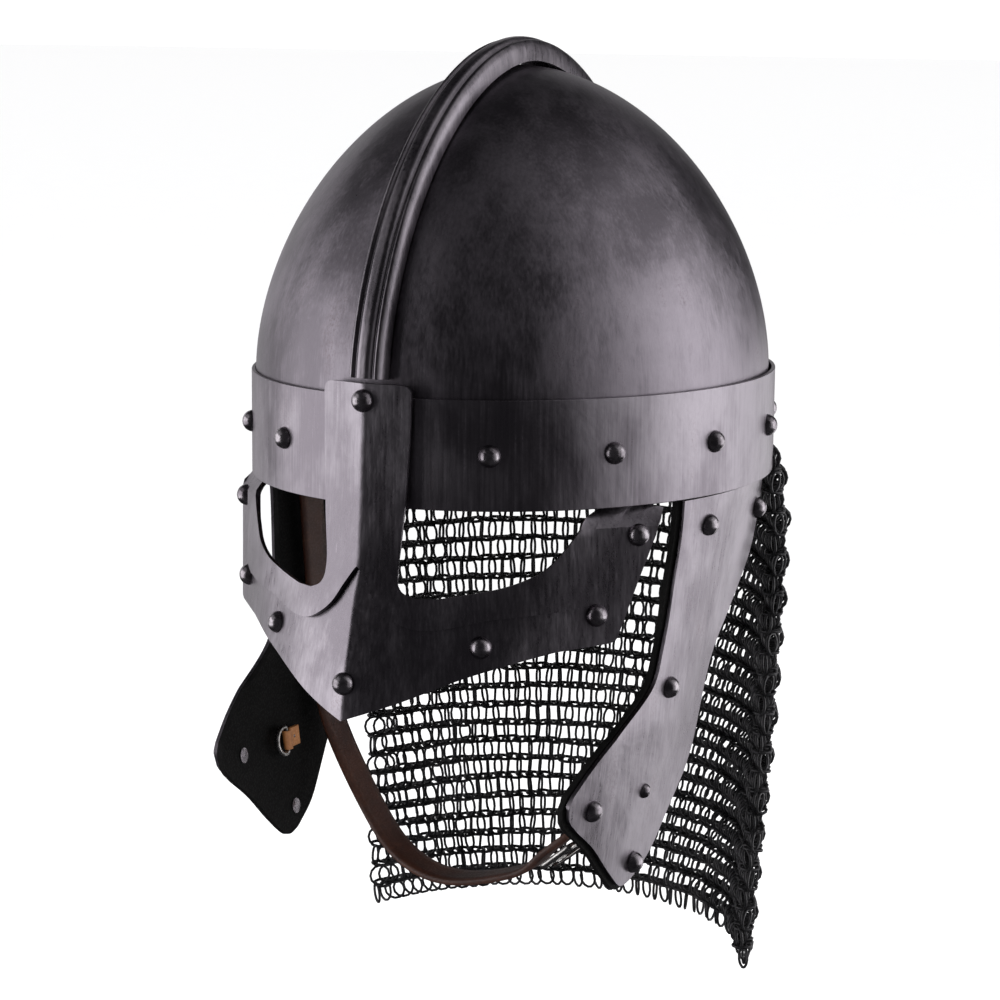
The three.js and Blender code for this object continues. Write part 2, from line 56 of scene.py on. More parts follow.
BAND_A, BAND_B = 105.0, 118.0
BAND_LOW, BAND_HIGH = -21.2, 21.2
SKULL_A, SKULL_B, SKULL_SHIFT = 102.9, 114.9, -1.2
SPRING, RISE = 21.2, 122.6
SKULL_N, SKULL_M = 1.8, 1.87
LINER_A, LINER_B, LINER_THICK = 95.8, 107.5, 2.2
LINER_LOW, LINER_HIGH, LINER_TOP = -12.0, 24.0, 106.0
LINER_TONGUES = 8
BAND_RIVETS = 14
RIVET_HEAD, RIVET_DOME, RIVET_SHANK = 4.4, 4.0, 1.8
TACK_HEAD, TACK_DOME, TACK_SHANK = 3.0, 2.4, 1.3
STRAP_WIDTH, STRAP_THICK = 16.0, 2.6
RING_RADIUS, RING_WIRE, RING_FLAT = 5.6, 1.1, 0.35
BUCKLE_AT, BUCKLE_LEAN = Vector((42, -35.5, -168.5)), 0.69

LINK_RADIUS, LINK_WIRE = 4.5, 0.62
LINK_PITCH, ROW_PITCH, FIRST_ROW, ROWS = 4.9, 8.55, -18.3, 26
LINK_TURN = math.radians(9)
FLAT_RADIUS, FLAT_WIRE = 3.9, 0.72
MAIL_START = 112.0
MAIL_SWELL = [(-240, -9), (-150, -2.4), (-80, 2), (-45, 2), (-30, 0.4), (-21, -0.8)]

TAB_SEAT = (-49, -138)
FLOOR_HEIGHT, FLOOR_SIZE = -0.5, 40.0

SIDES = (("left", 1), ("right", -1))


# ---- camera, lights and floor ----
def facing(azimuth, elevation):
    """Direction from the helmet at an angle round from its face and up from level."""
    a, e = math.radians(azimuth), math.radians(elevation)
    return Vector((math.sin(a) * math.cos(e), -math.cos(a) * math.cos(e), math.sin(e)))


def set_camera():
    azimuth, elevation, distance, roll = 28.25, 9.74, 1192.9, math.radians(0.51)
    back = facing(azimuth, elevation)
    right = Vector((math.cos(math.radians(azimuth)), math.sin(math.radians(azimuth)), 0))
    up = back.cross(right)
    eye = right * -6.05 + Vector((0, 0, -36.3)) + back * distance
    across = right * math.cos(roll) + up * math.sin(roll)
    upward = up * math.cos(roll) - right * math.sin(roll)
    data = bpy.data.cameras.new("camera")
    data.sensor_width = 36
    data.lens = 36 * 2.8547
    data.clip_start = 0.05
    data.clip_end = 50
    camera = bpy.data.objects.new("camera", data)
    camera.matrix_world = Matrix.Translation(eye * MM) @ Matrix((across, upward, back)).transposed().to_4x4()
    bpy.context.scene.collection.objects.link(camera)
    bpy.context.scene.camera = camera


def softbox(name, azimuth, elevation, distance, width, height, brightness):
    direction = facing(azimuth, elevation)
    data = bpy.data.lights.new(name, "AREA")
    data.shape = "RECTANGLE"
    data.size = width
    data.size_y = height
    data.energy = brightness * math.pi * width * height
    data.color = (1.0, 0.985, 1.0)
    lamp = bpy.data.objects.new(name, data)
    turn = direction.to_track_quat("Z", "Y").to_matrix().to_4x4()
    lamp.matrix_world = Matrix.Translation(direction * distance) @ turn
    lamp.visible_camera = False
    bpy.context.scene.collection.objects.link(lamp)


def set_lights():
    softbox("left_softbox", -60, -2, 1.5, 1.7, 1.4, 1.7)
    softbox("left_high_softbox", -55, 38, 1.6, 1.4, 0.6, 0.4)
    softbox("left_back_softbox", -114, 4, 1.6, 1.0, 1.4, 0.55)
    softbox("right_front_softbox", 84, 4, 1.6, 0.8, 1.5, 0.42)
    softbox("right_softbox", 122, 2, 1.5, 1.35, 1.5, 1.6)
    softbox("right_high_softbox", 112, 42, 1.6, 1.7, 0.8, 0.55)
    softbox("right_back_softbox", 166, -20, 1.6, 1.0, 1.1, 1.1)
    softbox("back_softbox", 208, 10, 1.8, 1.4, 1.6, 0.35)
    softbox("overhead_softbox", 95, 66, 1.7, 1.3, 0.9, 0.16)
    world = bpy.data.worlds.new("studio")
    bpy.context.scene.world = world
    world.use_nodes = True
    tree = world.node_tree
    tree.nodes.clear()
    path = tree.nodes.new("ShaderNodeLightPath")
    bright = tree.nodes.new("ShaderNodeBackground")
    bright.inputs["Color"].default_value = (1, 1, 1, 1)
    bright.inputs["Strength"].default_value = 1.15
    dim = tree.nodes.new("ShaderNodeBackground")
    dim.inputs["Color"].default_value = (0.9, 0.88, 0.95, 1)
    dim.inputs["Strength"].default_value = 0.035
    choice = tree.nodes.new("ShaderNodeMixShader")
    output = tree.nodes.new("ShaderNodeOutputWorld")
    tree.links.new(path.outputs["Is Glossy Ray"], choice.inputs[0])
    tree.links.new(bright.outputs[0], choice.inputs[1])
    tree.links.new(dim.outputs[0], choice.inputs[2])
    tree.links.new(choice.outputs[0], output.inputs[0])
    bpy.context.scene.view_settings.view_transform = "Standard"


# ---- finishes ----
class Wire:
    """An output socket. Sums, differences and products of wires add Math nodes."""

    def __init__(self, finish, socket):
        self.finish = finish
        self.socket = socket

    def math(self, operation, *values):
        inputs = dict(enumerate(values))
        return self.finish.add("ShaderNodeMath", {"operation": operation}, inputs)

    def __add__(self, other):
        return self.math("ADD", self, other)

    def __radd__(self, other):
        return self.math("ADD", other, self)

    def __sub__(self, other):
        return self.math("SUBTRACT", self, other)

    def __mul__(self, other):
        return self.math("MULTIPLY", self, other)

    def __rmul__(self, other):
        return self.math("MULTIPLY", other, self)

    def between(self, low, high):
        """0 below low, 1 above high and a smooth step between."""
        settings = {"interpolation_type": "SMOOTHSTEP"}
        inputs = {"Value": self, "From Min": low, "From Max": high}
        return self.finish.add("ShaderNodeMapRange", settings, inputs)


class Finish:
    """A material whose nodes are added by one method."""

    def __init__(self, name):
        self.material = bpy.data.materials.new(name)
        self.material.use_nodes = True
        self.tree = self.material.node_tree
        self.tree.nodes.clear()
        self.place = self.add("ShaderNodeTexCoord", {}, {}, "Object")

    def add(self, kind, settings, inputs, output=0):
        node = self.tree.nodes.new(kind)
        for key, value in settings.items():
            setattr(node, key, value)
        for key, value in inputs.items():
            if isinstance(value, Wire):
                self.tree.links.new(value.socket, node.inputs[key])
            else:
                node.inputs[key].default_value = value
        return Wire(self, node.outputs[output])

    def stretched(self, x, y, z):
        """The object's own coordinates, with so many pattern cells to the millimetre each way."""
        scale = (x / MM, y / MM, z / MM)
        return self.add("ShaderNodeVectorMath", {"operation": "MULTIPLY"}, {0: self.place, 1: scale})

    def noise(self, x, y, z, detail=3.0, roughness=0.5, distortion=0.0):
        inputs = {"Vector": self.stretched(x, y, z), "Scale": 1.0, "Detail": detail,
                  "Roughness": roughness, "Distortion": distortion}
        return self.add("ShaderNodeTexNoise", {}, inputs)

    def cells(self, x, y, z):
        inputs = {"Vector": self.stretched(x, y, z), "Scale": 1.0}
        return self.add("ShaderNodeTexVoronoi", {"feature": "F1"}, inputs)

    def colours(self, factor, first, second):
        inputs = {0: factor, 6: self.full(first), 7: self.full(second)}
        return self.add("ShaderNodeMix", {"data_type": "RGBA"}, inputs, 2)

    def full(self, colour):
        return colour if isinstance(colour, Wire) else (*colour, 1.0)

    def bump(self, height, depth, strength=1.0):
        """Raises the surface by height times depth, in millimetres."""
        inputs = {"Strength": strength, "Distance": depth * MM, "Height": height}
        return self.add("ShaderNodeBump", {}, inputs)

    def surface(self, **sockets):
        node = self.tree.nodes.new("ShaderNodeBsdfPrincipled")
        for key, value in sockets.items():
            socket = node.inputs[key.replace("_", " ")]
            if isinstance(value, Wire):
                self.tree.links.new(value.socket, socket)
            else:
                socket.default_value = value
        output = self.tree.nodes.new("ShaderNodeOutputMaterial")
        self.tree.links.new(node.outputs[0], output.inputs["Surface"])
        return self.material


def browned_steel(name, dark, light, rough, streak=1.0):
    """Sheet steel with a dark oil-browned skin, rubbed along its height."""
    f = Finish(name)
    cloud = f.noise(0.016, 0.016, 0.012, 5.0, 0.62, 0.4)
    patch = f.noise(0.075, 0.075, 0.03, 4.0, 0.6)
    rub = f.noise(0.9, 0.9, 0.035, 4.0, 0.6)
    hair = f.noise(3.2, 3.2, 0.14, 2.0, 0.6)
    speck = f.noise(1.5, 1.5, 1.1, 3.0, 0.7)
    pits = f.cells(0.35, 0.35, 0.35).between(0.03, 0.16)
    tone = cloud * 0.5 + patch * 0.3 + rub * (0.2 * streak)
    base = f.colours(tone.between(0.41, 0.62), dark, light)
    worn = (rub * 0.55 + hair * 0.45).between(0.56, 0.74) * speck.between(0.4, 0.66)
    warm = (light[0] * 1.22, light[1] * 1.18, light[2] * 1.22)
    base = f.colours(worn * 0.75 * streak, base, warm)
    brown = patch.between(0.55, 0.75) * speck.between(0.45, 0.7)
    base = f.colours(brown * 0.6, base, (dark[0] * 0.95, dark[1] * 0.8, dark[2] * 0.75))
    gloss = (cloud - 0.5) * 0.22 + (rub - 0.5) * (0.30 * streak) + (speck - 0.5) * 0.22 + (patch - 0.5) * 0.2
    height = hair * (0.014 * streak) + speck * 0.016 + cloud * 0.8 + patch * 0.10 + pits * 0.010
    return f.surface(Base_Color=base, Metallic=1.0, Roughness=gloss + rough, Normal=f.bump(height, 1.0))


def rivet_steel():
    """Round heads, cloudy in tone with small dark specks."""
    f = Finish("rivet_steel")
    speck = f.noise(1.2, 1.2, 1.2, 4.0, 0.65)
    cloud = f.noise(0.25, 0.25, 0.25, 3.0)
    base = f.colours(cloud.between(0.35, 0.65), (0.20, 0.18, 0.20), (0.46, 0.43, 0.46))
    base = f.colours(speck.between(0.52, 0.7) * 0.5, base, (0.09, 0.08, 0.09))
    height = speck * 0.03 + cloud * 0.12
    gloss = speck * 0.16 + cloud * 0.1 + 0.13
    return f.surface(Base_Color=base, Metallic=1.0, Roughness=gloss, Normal=f.bump(height, 1.0))


def mail_steel():
    """Blackened wire with worn bright spots."""
    f = Finish("mail_steel")
    speck = f.noise(1.1, 1.1, 1.1, 3.0, 0.6)
    cloud = f.noise(0.05, 0.05, 0.05, 3.0)
    base = f.colours(cloud.between(0.35, 0.65), (0.018, 0.018, 0.020), (0.045, 0.044, 0.047))
    base = f.colours(speck.between(0.58, 0.72) * 0.6, base, (0.13, 0.125, 0.13))
    gloss = speck * 0.3 + 0.24
    return f.surface(Base_Color=base, Metallic=0.75, Roughness=gloss, Normal=f.bump(speck, 0.03))


def bright_wire():
    """Plated wire with fine scratches and dull patches."""
    f = Finish("bright_wire")
    speck = f.noise(1.4, 1.4, 1.4, 4.0, 0.6)
    cloud = f.noise(0.3, 0.3, 0.3, 2.0)
    base = f.colours(cloud.between(0.35, 0.65), (0.40, 0.39, 0.38), (0.66, 0.65, 0.63))
    base = f.colours(speck.between(0.6, 0.75) * 0.6, base, (0.16, 0.14, 0.12))
    return f.surface(Base_Color=base, Metallic=1.0, Roughness=speck * 0.22 + 0.14, Normal=f.bump(speck, 0.02))


def leather(name, dark, light, rough, grain=1.0, wear=0.4, coat=0.0, shine=0.5):
    """Grained hide: small rounded cells with painted shade in the valleys between them, fine creases, rubbed
    lighter on the high spots.
    """
    f = Finish(name)
    cell = f.cells(0.95, 0.95, 0.95)
    fine = f.cells(2.4, 2.4, 2.4)
    cloud = f.noise(0.035, 0.035, 0.035, 5.0, 0.6)
    fibre = f.noise(1.6, 1.6, 1.6, 4.0, 0.6)
    crease = f.noise(0.12, 0.12, 0.5, 3.0, 0.6, 1.2)
    valley = cell.between(0.25, 0.6)
    base = f.colours(cloud.between(0.3, 0.7), dark, light)
    # painted shade: the colour darkens in the grain's valleys, between the raised cells
    shade = tuple(c * 0.45 for c in dark)
    base = f.colours(valley * 0.35 * grain, base, shade)
    rubbed = tuple(min(1.0, c * 1.7 + 0.01) for c in light)
    base = f.colours(crease.between(0.55, 0.8) * wear, base, rubbed)
    height = cell * (-0.10 * grain) + fine * (-0.035 * grain) + fibre * 0.03 + crease * 0.16
    gloss = fibre * 0.16 + valley * 0.12 + (cloud - 0.5) * 0.14 + (rough - 0.1)
    return f.surface(Base_Color=base, Roughness=gloss, Coat_Weight=coat, Coat_Roughness=0.3,
                     Specular_IOR_Level=shine, Normal=f.bump(height, 1.0))


def thread(name, dark, light):
    """Waxed twisted thread."""
    f = Finish(name)
    lay = f.noise(1.4, 1.4, 4.0, 2.0)
    base = f.colours(lay.between(0.35, 0.65), dark, light)
    return f.surface(Base_Color=base, Roughness=lay * 0.3 + 0.45, Normal=f.bump(lay, 0.08))


def pale_floor():
    f = Finish("pale_floor")
    grain = f.noise(0.01, 0.01, 0.01, 3.0)
    base = f.colours(grain, (0.95, 0.95, 0.955), (0.97, 0.97, 0.975))
    return f.surface(Base_Color=base, Roughness=grain * 0.1 + 0.75)


# ---- modelling helpers ----
def smooth(low, high, value):
    t = min(1.0, max(0.0, (value - min(low, high)) / abs(high - low)))
    return t * t * (3 - 2 * t)


def along(table, at):
    """Reads a value off (position, value) pairs, position rising."""
    if at <= table[0][0]:
        return table[0][1]
    for (p0, v0), (p1, v1) in zip(table, table[1:]):
        if at <= p1:
            return v0 + (v1 - v0) * (at - p0) / (p1 - p0)
    return table[-1][1]


def through(points, count):
    """Evenly numbered points on a smooth curve through the given ones."""
    dots = [Vector(p) for p in points]
    last = len(dots) - 1
    result = []
    for i in range(count + 1):
        at = i / count * last
        k = min(int(at), last - 1)
        t = at - k
        before = dots[max(k - 1, 0)]
        a, b = dots[k], dots[k + 1]
        after = dots[min(k + 2, last)]
        v0, v1 = (b - before) * 0.5, (after - a) * 0.5
        cubic = a * 2 - b * 2 + v0 + v1
        square = a * -3 + b * 3 - v0 * 2 - v1
        result.append(cubic * t ** 3 + square * t ** 2 + v0 * t + a)
    return result


def even(points, count):
    """The same line with its points evenly spaced along its length."""
    lengths = [0.0]
    for a, b in zip(points, points[1:]):
        lengths.append(lengths[-1] + (b - a).length)
    result = []
    k = 0
    for i in range(count + 1):
        want = lengths[-1] * i / count
        while k < len(points) - 2 and lengths[k + 1] < want:
            k += 1
        span = lengths[k + 1] - lengths[k] or 1.0
        result.append(points[k].lerp(points[k + 1], (want - lengths[k]) / span))
    return result


def turn_out(bm, centre=Vector((0, 0, 20))):
    """Points all faces the same way, away from the helmet's middle."""
    bmesh.ops.recalc_face_normals(bm, faces=bm.faces[:])
    if sum(f.normal.dot(f.calc_center_median() - centre) * f.calc_area() for f in bm.faces) < 0:
        bmesh.ops.reverse_faces(bm, faces=bm.faces[:])


def verts_in(geometry):
    return [g for g in geometry if isinstance(g, bmesh.types.BMVert)]


def edges_in(geometry):
    return [g for g in geometry if isinstance(g, bmesh.types.BMEdge)]


def line_of(bm, points):
    """A run of edges through the points."""
    spots = [bm.verts.new(p) for p in points]
    for a, b in zip(spots, spots[1:]):
        bm.edges.new((a, b))


def spun(bm, steps, distance=1e-5):
    """Turns an outline once round the Z axis into a closed surface."""
    bmesh.ops.spin(bm, geom=bm.verts[:] + bm.edges[:], cent=(0, 0, 0), axis=(0, 0, 1),
                   dvec=(0, 0, 0), angle=2 * math.pi, steps=steps, use_merge=True,
                   use_duplicate=False)
    bmesh.ops.remove_doubles(bm, verts=bm.verts[:], dist=distance)


def poured(bm, part):
    """Adds a part's faces to another mesh and frees the part."""
    mesh = bpy.data.meshes.new("part")
    part.to_mesh(mesh)
    part.free()
    bm.from_mesh(mesh)
    bpy.data.meshes.remove(mesh)


def curved(points, count):
    return [tuple(p) for p in through(points, count)]


def crease_sharp(bm, degrees):
    limit = math.radians(degrees)
    for edge in bm.edges:
        if len(edge.link_faces) == 2 and edge.calc_face_angle(0) > limit:
            edge.smooth = False


def finish(name, bm, material, body, stands_for=(), slot=None, wall=0.0, edge=0.0, corner=35):
    """Turns modelling millimetres into a finished piece that rides on a body."""
    bmesh.ops.scale(bm, vec=(MM, MM, MM), verts=bm.verts[:])
    mesh = bpy.data.meshes.new(name)
    bm.to_mesh(mesh)
    bm.free()
    for polygon in mesh.polygons:
        polygon.use_smooth = True
    piece = bpy.data.objects.new(name, mesh)
    bpy.context.scene.collection.objects.link(piece)
    mesh.materials.append(material)
    if wall:
        shell = piece.modifiers.new("wall", "SOLIDIFY")
        shell.thickness = wall * MM
        shell.offset = -1
        shell.use_even_offset = True
    if edge:
        bevel = piece.modifiers.new("edge", "BEVEL")
        bevel.width = edge * MM
        bevel.segments = 2
        bevel.limit_method = "ANGLE"
        bevel.angle_limit = math.radians(corner)
        bevel.harden_normals = True
        bevel.use_clamp_overlap = True
    if body:
        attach(piece, body)
    if stands_for:
        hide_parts(*stands_for)
    return piece


def flat_plate(points, plane):
    """A flat face inside an outline, in the X-Z plane for the face or the Y-Z plane for a cheek."""
    bm = bmesh.new()
    spots = [Vector((p[0], 0, p[1])) if plane == "XZ" else Vector((0, p[0], p[1])) for p in points]
    bm.faces.new([bm.verts.new(s) for s in spots])
    return bm


def cut_lines(bm, direction, low, high, step, extra=()):
    """Cuts a flat face along even lines across a direction, so that it can be bent."""
    count = max(1, round((high - low) / step))
    places = sorted(set([low + (high - low) * i / count for i in range(1, count)] + list(extra)))
    for at in places:
        geometry = bm.verts[:] + bm.edges[:] + bm.faces[:]
        bmesh.ops.bisect_plane(bm, geom=geometry, dist=1e-4, plane_co=direction * at, plane_no=direction)


def laid(bm, rule):
    for vertex in bm.verts:
        vertex.co = rule(vertex.co)


def tidy_small(bm, distance=0.05):
    bmesh.ops.remove_doubles(bm, verts=bm.verts[:], dist=distance)


def mirror_piece(bm):
    """The same shape for the other side."""
    other = bm.copy()
    bmesh.ops.scale(other, vec=(-1, 1, 1), verts=other.verts[:])
    bmesh.ops.reverse_faces(other, faces=other.faces[:])
    return other


def for_side(bm, sign):
    return bm.copy() if sign > 0 else mirror_piece(bm)


# ---- the helmet's surfaces ----
def skull_width(z):
    up = max(0.0, z - SPRING) / RISE
    return max(0.0, 1 - up ** SKULL_N) ** (1 / SKULL_M)


RIDGE = [(-101, 139.1), (-93, 138), (-82.6, 136.2), (-71.3, 133.4), (-57.7, 130), (-43.5, 125.3),
         (-29.8, 123.6), (-15.3, 122.6), (0, 122), (12, 121.3), (27, 121.1)]
RIDGE_LINE = [(p.x, p.y) for p in through([(z, y) for z, y in RIDGE], 60)]


def face_depth(x, z):
    """Forward reach of the lower face plate's outer face: a ridge with two rounded wings."""
    side = abs(x)
    tabness = smooth(-60, -24, z)
    winging = smooth(25, 60, side)
    slope = 0.2 - 0.13 * tabness * winging
    bow = 0.0114 * side ** 1.84 * (1 - tabness * (1 - winging))
    nose = along(RIDGE_LINE, z) - slope * side - bow
    wing = 151.6 - 0.14 * (z + 21) - 0.965 * side
    tuck = 7.5 * smooth(-28, -23, z) * smooth(60, 72, side)
    blend = smooth(44, 66, side)
    return nose * (1 - blend) + wing * blend - tuck


def face_point(x, z, out=0.0):
    normal = face_normal(x, z)
    return Vector((x, -face_depth(x, z), z)) + normal * out


def face_normal(x, z):
    step = 0.4
    across = Vector((2 * step, face_depth(x - step, z) - face_depth(x + step, z), 0))
    upward = Vector((0, face_depth(x, z - step) - face_depth(x, z + step), 2 * step))
    return across.cross(upward).normalized()


def cheek_reach(y, z):
    down = min(1.0, max(0.0, (-21 - z) / 90))
    bow = 0.0036 + (0.00062 - 0.0036) * down
    return 102.3 + 0.132 * (z + 21) - bow * y * y


def cheek_normal(y, z):
    step = 0.2
    back = Vector((cheek_reach(y + step, z) - cheek_reach(y - step, z), 2 * step, 0))
    upward = Vector((cheek_reach(y, z + step) - cheek_reach(y, z - step), 0, 2 * step))
    return back.cross(upward).normalized()


def cheek_point(y, z, out=0.0):
    return Vector((cheek_reach(y, z), y, z)) + cheek_normal(y, z) * out


def band_point(degrees, z, out=0.0):
    t = math.radians(degrees)
    return Vector(((BAND_A + out) * math.sin(t), -(BAND_B + out) * math.cos(t), z))


# ---- skull, band and comb ----
def make_skull(material):
    """The raised bowl, from inside the band up to the crown."""
    bm = bmesh.new()
    steps = 56
    rows = [Vector((1.0, 0, -6)), Vector((1.0, 0, 8))]
    for i in range(steps + 1):
        z = SPRING + RISE * math.sin(i / steps * math.pi / 2)
        rows.append(Vector((skull_width(z) if i < steps else 0.0, 0, z)))
    line_of(bm, rows)
    spun(bm, 144)
    bmesh.ops.scale(bm, vec=(SKULL_A, SKULL_B, 1), verts=bm.verts[:])
    bmesh.ops.translate(bm, vec=(0, SKULL_SHIFT, 0), verts=bm.verts[:])
    turn_out(bm)
    return finish("skull_bowl", bm, material, "shell", ["skull"], "skull_steel", wall=SKULL_SHEET)


def make_band(material):
    """The hoop round the brow."""
    bm = bmesh.new()
    bmesh.ops.create_circle(bm, segments=180, radius=1.0)
    bmesh.ops.scale(bm, vec=(BAND_A, BAND_B, 1), verts=bm.verts[:])
    bmesh.ops.translate(bm, vec=(0, 0, BAND_LOW), verts=bm.verts[:])
    rise = (BAND_HIGH - BAND_LOW) / 6
    rim = bm.edges[:]
    for _ in range(6):
        grown = bmesh.ops.extrude_edge_only(bm, edges=rim)["geom"]
        bmesh.ops.translate(bm, vec=(0, 0, rise), verts=verts_in(grown))
        rim = edges_in(grown)
    turn_out(bm)
    return finish("forged_band", bm, material, "shell", ["brow_band"], "band_steel", wall=SHEET, edge=0.35)


COMB_HEIGHT = [(0, 7.8), (0.1, 7.4), (0.25, 8), (0.42, 9.4), (0.55, 10), (0.8, 9.2), (1, 7)]
COMB_LIFT = [(0, 0.5), (0.3, 0.6), (0.5, 1.6), (0.65, 2), (0.85, 0.8), (1, 0.5)]
COMB_HALF = [(7.6, 0), (7.55, 0.22), (7.3, 0.46), (6.8, 0.66), (6.0, 0.82), (5.2, 0.88), (4.5, 0.84),
             (3.9, 0.76), (3.3, 0.78), (2.7, 0.9), (1.9, 0.98), (0.9, 1.0), (0, 1.0)]


def skull_line(t):
    z = SPRING + RISE * math.sin(math.pi * t)
    reach = SKULL_B * skull_width(z)
    return Vector((0, SKULL_SHIFT + (-reach if t < 0.5 else reach), z))


def make_comb(material):
    """A raised channel with a fluted crest, run from the brow over the crown to the nape."""
    section = COMB_HALF + [(-x, h) for x, h in reversed(COMB_HALF[:-1])]
    section = [(p.x, p.y) for p in through(section, (len(section) - 1) * 2)]
    line = even([skull_line(0.0165 + (0.999 - 0.0165) * i / 240) for i in range(241)], 110)
    bm = bmesh.new()
    first = [bm.verts.new((x, 0, h)) for x, h in section]
    edges = [bm.edges.new(pair) for pair in zip(first, first[1:])]
    rows = [first]
    for _ in line[1:]:
        grown = bmesh.ops.extrude_edge_only(bm, edges=edges)["geom"]
        edges = edges_in(grown)
        spots = {v for e in edges for v in e.verts}
        rows.append(sorted(spots, key=lambda v: -v.co.x))
    for i, row in enumerate(rows):
        t = i / (len(rows) - 1)
        tangent = (line[min(i + 1, len(line) - 1)] - line[max(i - 1, 0)]).normalized()
        up = Vector((0, -tangent.z, tangent.y))
        for vertex in row:
            rise = along(COMB_LIFT, t) + vertex.co.z * along(COMB_HEIGHT, t)
            base = line[i] + up * rise
            vertex.co = Vector((vertex.co.x, base.y, base.z))
    turn_out(bm)
    return finish("fluted_comb", bm, material, "shell", ["comb"], "comb_steel", wall=1.2,
                  edge=0.22, corner=50)


# ---- rivets ----
def rivet(bm, point, direction, head, dome, shank, length, inner=0.0):
    """A round-headed rivet, its shank peened over a small washer inside."""
    part = bmesh.new()
    profile = [(0, dome), (head * 0.26, dome * 0.965), (head * 0.5, dome * 0.86),
               (head * 0.7, dome * 0.7), (head * 0.86, dome * 0.48), (head * 0.96, dome * 0.24),
               (head, 0.32), (head, 0.02),
               (shank, 0.02), (shank, -length + 0.6)]
    if inner:
        profile += [(inner, -length + 0.6), (inner, -length + 0.1), (inner * 0.7, -length),
                    (0, -length - 0.5)]
    else:
        profile += [(shank * 0.8, -length), (0, -length)]
    line_of(part, [(x, 0, z) for x, z in profile])
    spun(part, 28)
    bmesh.ops.recalc_face_normals(part, faces=part.faces[:])
    crease_sharp(part, 48)
    turn = direction.to_track_quat("Z", "Y").to_matrix().to_4x4()
    bmesh.ops.transform(part, matrix=Matrix.Translation(point) @ turn, verts=part.verts[:])
    poured(bm, part)


def one_rivet(name, node, body, material, point, direction, length, small=False):
    bm = bmesh.new()
    if small:
        rivet(bm, point, direction, TACK_HEAD, TACK_DOME, TACK_SHANK, length, 2.4)
    else:
        rivet(bm, point, direction, RIVET_HEAD, RIVET_DOME, RIVET_SHANK, length, 3.2)
    return finish(name, bm, material, body, [node], "rivet_steel")


def make_band_rivets(material):
    for i in range(1, BAND_RIVETS):
        t = 2 * math.pi * i / BAND_RIVETS
        point = Vector((BAND_A * math.sin(t), -BAND_B * math.cos(t), 0))
        direction = Vector((math.sin(t) / BAND_A, -math.cos(t) / BAND_B, 0)).normalized()
        name = f"band_rivet_{i:02d}"
        one_rivet(name + "_domed", name, "shell", material, point, direction, 10.5)
    brow = Vector((0, -face_depth(0, 19.8) - SHEET - FACE_GAP - 0.1, 19.8))
    one_rivet("brow_rivet_domed", "brow_rivet", "shell", material, brow, Vector((0, -1, 0)), 10.5)


def make_face_rivets(material):
    for name, x, z in (("low", 45.5, -72.5), ("corner", 79, -62), ("arm", 89.4, -32)):
        for side, sign in SIDES:
            node = f"mask_rivet_{name}_{side}"
            point, direction = face_point(sign * x, z), face_normal(sign * x, z)
            one_rivet(node + "_domed", node, "shell", material, point, direction, 3.4)
    chin = Vector((0, -face_depth(0, -86.8) - 0.25, -86.8))
    one_rivet("mask_rivet_chin_domed", "mask_rivet_chin", "shell", material, chin,
              Vector((0, -1, 0.16)).normalized(), 3.4)


def make_cheek_rivets(material):
    spots = (("top_front", -22.5, -34), ("top_back", 27, -34.5), ("middle", -38.5, -97.5),
             ("corner", -88.5, -137), ("tip", -49.8, -167.5))
    for side, sign in SIDES:
        flip = Vector((sign, 1, 1))
        for name, y, z in spots:
            node = f"cheek_rivet_{name}_{side}"
            point, direction = cheek_point(y, z) * flip, cheek_normal(y, z) * flip
            one_rivet(node + "_domed", node, "cheek_" + side, material, point, direction, 4.9)
        point, direction = cheek_point(*TAB_SEAT) * flip, cheek_normal(*TAB_SEAT) * flip
        one_rivet(f"tab_rivet_{side}_domed", f"tab_rivet_{side}", "cheek_" + side, material, point, direction,
                  7.0, small=True)
        point = Vector((sign * (88.2 - STRAP_THICK / 2), -20, -6))
        one_rivet(f"strap_rivet_{side}_domed", f"strap_rivet_{side}", "shell", material, point,
                  Vector((-sign, 0, 0)), 7.6, small=True)


# ---- face plates ----
def both_halves(half):
    other = [(-p[0], p[1]) for p in reversed(half) if p[0] > 1e-6]
    return list(half) + other


def spectacle_outline():
    half = [(0, 26.3), (6, 26.3), (14.0, 26.3), (15.6, 26.15), (17.0, 25.7), (18.0, 24.8),
            (18.55, 23.5), (18.7, 22)]
    half += curved([(18.3, 4), (17, -22), (15.3, -44), (16.8, -51.6), (22.5, -54.5)], 22)
    half += curved([(30, -54.4), (50, -50.4), (61.5, -45), (67, -38.5), (71, -31.5),
                                        (73.4, -25.5)], 24)
    half += [(75.6, -19), (76.3, -4), (76.3, 6.5), (82.5, 6.5), (82.8, -4), (83.2, -14), (83.9, -22)]
    half += curved([(81, -35), (77.8, -48), (75.4, -56.6), (71.4, -59.4)], 14)
    half += curved([(63, -60.5), (48, -62.4), (38, -64.6), (30, -66.1), (22, -65.7),
                                        (15, -62.4), (9, -57.4), (4.4, -50.2), (0, -43.5)], 34)
    return both_halves(half)


def mask_outline():
    half = [(0, -34), (10.8, -34)]
    half += curved([(11.2, -48), (14.5, -56.5), (24, -59.4), (38, -57.6), (52, -55),
                                        (63, -51.2), (71, -45), (75.2, -35), (77.6, -24)], 34)
    half += [(79, -15), (80, -4), (80, 6.5), (87.4, 6.5), (87.4, -4), (87.4, -20.8), (93.4, -22.6),
             (95, -27)]
    half += [(94.6, -32), (90.3, -50), (85.6, -70.8), (85.1, -72), (83.6, -73)]
    half += curved([(68, -75.4), (55, -79.3), (40, -84.6), (20.5, -93.3), (0, -101)], 20)
    return both_halves(half)


